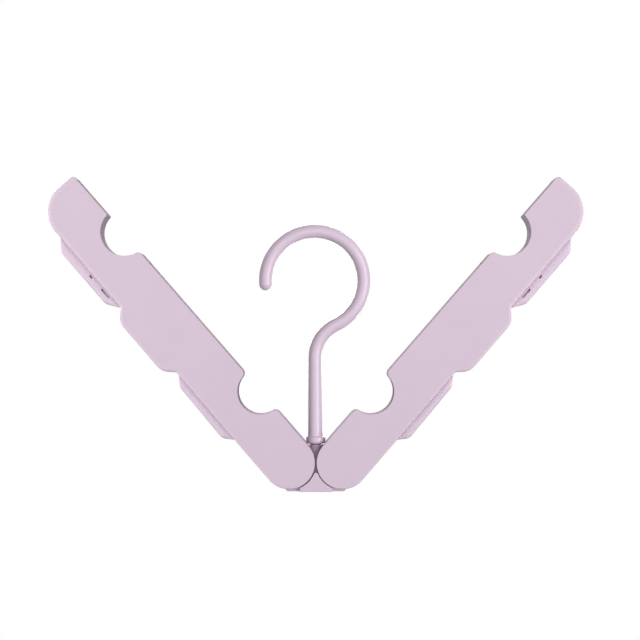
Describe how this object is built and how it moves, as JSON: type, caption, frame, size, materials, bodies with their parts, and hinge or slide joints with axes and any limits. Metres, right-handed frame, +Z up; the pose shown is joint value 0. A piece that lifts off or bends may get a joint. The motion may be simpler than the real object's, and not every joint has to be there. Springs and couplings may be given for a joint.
{
  "type": "folding travel hanger",
  "caption": "Folding clothes hanger with a swivelling hook and two hollow arms that fold up round the hook.",
  "frame": {"origin": "the rail's seat: the top of the inside of the hook's curl, on the swivel axis", "axes": "+Z up along the swivel axis, +X to the right seen from the front, +Y towards the back"},
  "size_m": [0.269, 0.014, 0.1579],
  "materials": {
    "arm_plastic": "satin lilac moulding",
    "hub_plastic": "satin lilac moulding",
    "hook_plastic": "semi-gloss lilac moulding",
    "washer_nylon": "natural nylon",
    "screw_steel": "zinc plated"
  },
  "bodies": {
    "hook": {"hook": "hook_plastic"},
    "hub": {"hub_front_half": "hub_plastic", "hub_back_half": "hub_plastic", "hub_screw": "screw_steel"},
    "left_arm": {"left_arm_front_shell": "arm_plastic", "left_arm_back_shell": "arm_plastic", "left_arm_root_screw": "screw_steel", "left_arm_middle_screw": "screw_steel", "left_arm_tip_screw": "screw_steel", "left_pivot_screw": "screw_steel", "left_front_washer": "washer_nylon", "left_back_washer": "washer_nylon"},
    "right_arm": {"right_arm_front_shell": "arm_plastic", "right_arm_back_shell": "arm_plastic", "right_arm_root_screw": "screw_steel", "right_arm_middle_screw": "screw_steel", "right_arm_tip_screw": "screw_steel", "right_pivot_screw": "screw_steel", "right_front_washer": "washer_nylon", "right_back_washer": "washer_nylon"}
  },
  "joints": [
    {"name": "hook_swivel", "type": "hinge", "parent": "hook", "child": "hub", "pos_m": [0, 0, -0.1131], "axis": [0, 0, 1], "range_deg": [-180, 180]},
    {"name": "left_arm_fold", "type": "hinge", "parent": "hub", "child": "left_arm", "pos_m": [-0.0135, 0, -0.1131], "axis": [0, 1, 0], "range_deg": [-61.25, 40.75]},
    {"name": "right_arm_fold", "type": "hinge", "parent": "hub", "child": "right_arm", "pos_m": [0.0135, 0, -0.1131], "axis": [0, -1, 0], "range_deg": [-61.25, 40.75]}
  ]
}
